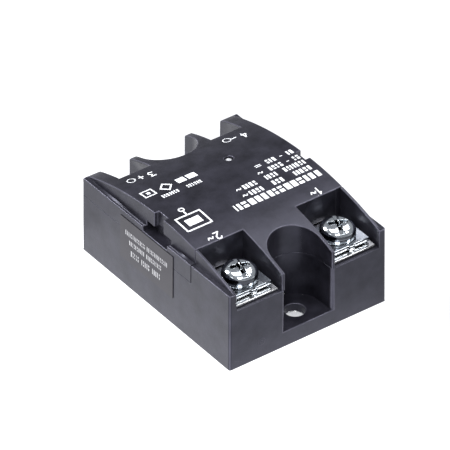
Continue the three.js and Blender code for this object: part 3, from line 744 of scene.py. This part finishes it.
def top_print():
    """Generic marks on the arched top: rows of dashes, terminal numbers and plain outlines."""
    rating = Stencil()
    dashes(rating, 19.3, -4.9, -7.47, 2.1, 11, 0.75)
    rows = (
        (-4.72, ((18.7, 13.4), (10.8, 7.4))),
        (-2.22, ((18.8, 12.5), (10.8, 7.4))),
        (0.08, ((19.0, 17.2), (14.1, 10.1))),
        (2.75, ((19.1, 17.3), (14.1, 11.4))),
    )
    for row, (y, words) in enumerate(rows):
        for start, end in words:
            dashes(rating, start, end, y, 1.55, 20 + row, 0.5)
    for y in (-4.85, -2.25):
        dashes(rating, 4.9, 0.9, y, 1.55, int(40 + y), 0.5)
        write(rating, "~", 0.6, y, 1.7, 0.26)
    for y in (0.08, 2.75):
        rating.block(15.4, 16.1, y - 0.12, y + 0.12)
    write(rating, "~", 8.5, 0.08, 1.7, 0.26)
    for offset in (-0.28, 0.28):
        rating.block(8.3, 9.9, 2.65 + offset - 0.11, 2.65 + offset + 0.11)
    rating.lay("rating_print", "cover", on_top)

    numbers = Stencil()
    write(numbers, "1", 15.9, -12.45, 2.1, 0.34)
    write(numbers, "~", 14.4, -12.45, 1.9, 0.3)
    write(numbers, "2", -12.9, -12.7, 2.1, 0.34)
    write(numbers, "~", -14.9, -12.7, 1.9, 0.3)
    write(numbers, "3", -10.6, 16.4, 2.1, 0.32)
    write(numbers, "+", -13.2, 16.9, 1.9, 0.3)
    write(numbers, "4", 16.1, 16.4, 2.1, 0.32)
    write(numbers, "-", 13.4, 16.9, 1.9, 0.3)
    for x, y in ((-16.4, 17.2), (10.9, 17.2)):
        numbers.ring(x, y, 0.95, 0.26)
    numbers.lay("terminal_numbers", "cover", on_top)

    marks = Stencil()
    marks.stroke([(-18.6, 8.1), (-18.6, 10.6), (-15.7, 10.6), (-15.7, 8.1), (-18.6, 8.1)], 0.34)
    marks.block(-17.6, -16.7, 8.9, 9.8)
    marks.stroke([(-12.4, 7.5), (-10.9, 9.05), (-12.4, 10.6), (-13.9, 9.05), (-12.4, 7.5)], 0.4)
    marks.block(-9.2, -6.9, 8.3, 10.2)
    marks.block(-6.3, -3.8, 8.3, 10.2)
    dashes(marks, -11.1, -15.7, 5.95, 1.15, 61, 0.5)
    dashes(marks, -4.7, -9.2, 5.9, 1.15, 62, 0.5)
    marks.lay("approval_outlines", "cover", on_top)

    symbol = Stencil()
    symbol.stroke([(-18.6, -8.2), (-18.6, -3.2), (-11.9, -3.2), (-11.9, -8.2), (-18.6, -8.2)], 0.42)
    symbol.block(-17.2, -13.3, -6.9, -4.6)
    symbol.stroke([(-15.25, -3.2), (-15.25, -1.4)], 0.42)
    symbol.ring(-15.25, -0.9, 0.6, 0.36)
    symbol.lay("wiring_symbol", "cover", on_top)


# Height over the foot of the label, start, end, height of the dashes, seed and number of words.
LABEL_ROWS = (
    (7.95, -8.8, 8.4, 1.25, 213, 2),
    (5.7, -7.2, 6.1, 1.25, 216, 2),
    (2.95, -6.8, 5.6, 1.5, 219, 3),
)
WORD_GAP = 0.35


def label_print():
    """Three rows of faint dashes on the seal label."""
    middle_y = middle(LABEL).y
    face_x = LABEL[0].x
    low = LABEL[0].z

    def on_label(along, height, lift):
        z = low + height * MM
        return Vector((face_x - lift + (z - low) * DRAFT, middle_y - along * MM, z))

    rows = Stencil()
    for height, start, end, tall, seed, words in LABEL_ROWS:
        length = (end - start) / words
        for word in range(words):
            first, last = start + word * length + WORD_GAP, start + (word + 1) * length - WORD_GAP
            dashes(rows, first, last, height, tall, seed + word, 0.3)
    rows.lay("label_print", "seal_label", on_label, FAINT_INK)


def front_marks():
    """Low on the front face: an ejector pin's ring with a small one inside it, and a short thin scratch."""
    marks = Stencil()
    marks.ring(-13.35, 4.4, 0.95, 0.16)
    marks.ring(-13.35, 4.4, 0.3, 0.14, sides=16)
    marks.stroke([(-21.1, 2.2), (-19.0, 1.35)], 0.07)

    def on_front(x, z, lift):
        return Vector((x * MM, FRONT_Y - lift + z * MM * DRAFT, z * MM))

    marks.lay("ejector_mark", "housing", on_front, EDGE_HIGHLIGHT_AND_MARK_PLASTIC)


# ---- everything in its place ---------------------------------------------------------------------

moulding("housing", "housing_moulding")
moulding("cover", "cover_moulding")
for post, kind in POSTS.items():
    edge = 0.12 * MM if kind == "power" else 0.09 * MM
    pressed(f"{post}_clamp", f"{post}_clamp_plate", edge)
    pressed(f"{post}_terminal", f"{post}_terminal_bar", edge)
    clamp_screw(post)
pressed("baseplate", "base_metal", 0.15 * MM)
top_print()
label_print()
front_marks()

SOFT_EDGES = {"optocoupler": 0.2, "input_regulator": 0.15, "bridge_rectifier": 0.2, "snubber_capacitor": 0.5,
              "varistor": 0.8, "snubber_resistor": 0.35, "circuit_board": 0.1, "ceramic_substrate": 0.08}
done = {node for post in POSTS for node in (f"{post}_clamp", f"{post}_terminal", f"{post}_screw")}
done |= {"housing", "cover", "baseplate"}
for node, shown in frame["nodes"].items():
    if node in done:
        continue
    shown.data.materials.clear()
    shown.data.materials.append(LOOKS[slot_of(node)])
    if node == "seal_label":
        round_edges(shown, 0.09 * MM, segments=2, angle=40, edge_look=LABEL_EDGE)
    if node in SOFT_EDGES:
        round_edges(shown, SOFT_EDGES[node] * MM, angle=40, clamp=True)

# ---- floor, light and camera ---------------------------------------------------------------------


FLOOR_HALF = 3.0
GLOW_BESIDE, GLOW_OPEN = 1.7, 0.8  # strength right beside the relay, and from GLOW_REACH on
GLOW_REACH = 24 * MM
GLOW_STEEP_Y = 2.6  # how much faster it falls off beyond the two ends than beyond the sides
GLOW_UNDER = 0.35  # share that remains under the relay
SHADE_KEEPS = 0.6  # share that remains where the shade towards +X is full
SHADE_START, SHADE_FULL = 4 * MM, 26 * MM


def floor_glow(look):
    """The lit floor is brightest right beside the relay, and a little darker towards +X."""
    split = look.tree.nodes.new("ShaderNodeSeparateXYZ")
    look.link(look.place, split.inputs["Vector"])
    join = look.tree.nodes.new("ShaderNodeCombineXYZ")
    for axis, half, steep in (("X", cad_box[1].x, 1), ("Y", cad_box[1].y, GLOW_STEEP_Y)):
        beyond = look.with_number("SUBTRACT", look.absolute(split.outputs[axis]), half)
        beyond = look.with_number("MULTIPLY", beyond, steep)
        look.link(look.with_number("MAXIMUM", beyond, 0), join.inputs[axis])
    length = look.tree.nodes.new("ShaderNodeVectorMath")
    length.operation = "LENGTH"
    look.link(join.outputs["Vector"], length.inputs[0])
    glow = look.spread(length.outputs["Value"], GLOW_BESIDE, GLOW_OPEN, 0, GLOW_REACH)
    beside = look.spread(look.with_number("GREATER_THAN", length.outputs["Value"], 0), GLOW_UNDER, 1, 0, 1)
    lit = look.combine("MULTIPLY", glow, beside)
    shaded = look.spread(split.outputs["X"], 1, SHADE_KEEPS, SHADE_START, SHADE_FULL)
    look.link(look.combine("MULTIPLY", lit, shaded), look.shader.inputs["Emission Strength"])


def floor():
    corners = [(x * FLOOR_HALF, y * FLOOR_HALF, 0) for x, y in ((-1, -1), (1, -1), (1, 1), (-1, 1))]
    data = bpy.data.meshes.new("floor")
    data.from_pydata(corners, [], [(0, 1, 2, 3)])
    look = Nodes("floor")
    look.set(Base_Color=(0.3, 0.3, 0.31, 1), Roughness=0.9, Emission_Color=(0.97, 0.98, 1, 1))
    floor_glow(look)
    data.materials.append(look.material)
    piece = bpy.data.objects.new("floor", data)
    bpy.context.scene.collection.objects.link(piece)


def softbox(name, place, size, power, aim=(0, 0, 0.012)):
    """An area light at place, turned to aim; power in watts."""
    light = bpy.data.lights.new(name, "AREA")
    light.shape = "RECTANGLE"
    light.size, light.size_y = size
    light.energy = power
    lamp = bpy.data.objects.new(name, light)
    lamp.location = place
    lamp.rotation_mode = "QUATERNION"
    lamp.rotation_quaternion = (Vector(aim) - Vector(place)).to_track_quat("-Z", "Y")
    bpy.context.scene.collection.objects.link(lamp)


def studio():
    world = bpy.data.worlds.new("studio")
    world.use_nodes = True
    background = world.node_tree.nodes["Background"]
    background.inputs["Color"].default_value = (0.93, 0.95, 1, 1)
    background.inputs["Strength"].default_value = 0.32
    bpy.context.scene.world = world
    bpy.context.scene.view_settings.view_transform = "Standard"
    softbox("overhead", (0.48, 0.05, 0.85), (0.66, 0.55), 5.8)
    softbox("zenith", (-0.18, 0.1, 1.0), (0.5, 0.5), 6)
    softbox("front_right", (0.45, -0.55, 0.68), (0.2, 0.2), 1.8)
    softbox("rear_left", (-0.42, 0.65, 0.62), (0.25, 0.3), 6)
    softbox("left", (-0.9, 0.05, 0.4), (0.4, 0.4), 1.5, aim=(-0.05, 0, 0))
    softbox("front_left", (-0.45, -0.62, 0.75), (0.3, 0.3), 4)


def photo_camera():
    """The photo's view, as fitted: a long lens about a metre away, to the front left and above."""
    azimuth = math.radians(-36.294)
    elevation = math.radians(36.048)
    roll = math.radians(-0.074)
    distance = 1.025976
    shift_right, shift_up = -1.822, 1.792  # millimetres
    aim = Vector((0, 0, 12 * MM))
    back = Vector((
        math.sin(azimuth) * math.cos(elevation),
        -math.cos(azimuth) * math.cos(elevation),
        math.sin(elevation),
    ))
    level = (-back).cross(Vector((0, 0, 1))).normalized()
    rise = level.cross(-back)
    right = level * math.cos(roll) + rise * math.sin(roll)
    up = rise * math.cos(roll) - level * math.sin(roll)
    data = bpy.data.cameras.new("camera")
    data.sensor_width = 36
    data.lens = 355.585
    data.clip_start = 0.05
    data.clip_end = 20
    camera = bpy.data.objects.new("camera", data)
    turn = Matrix((right, up, back)).transposed()
    place = back * distance + right * shift_right * MM + up * shift_up * MM + aim
    camera.matrix_world = Matrix.Translation(place) @ turn.to_4x4()
    bpy.context.scene.collection.objects.link(camera)
    bpy.context.scene.camera = camera


floor()
studio()
photo_camera()
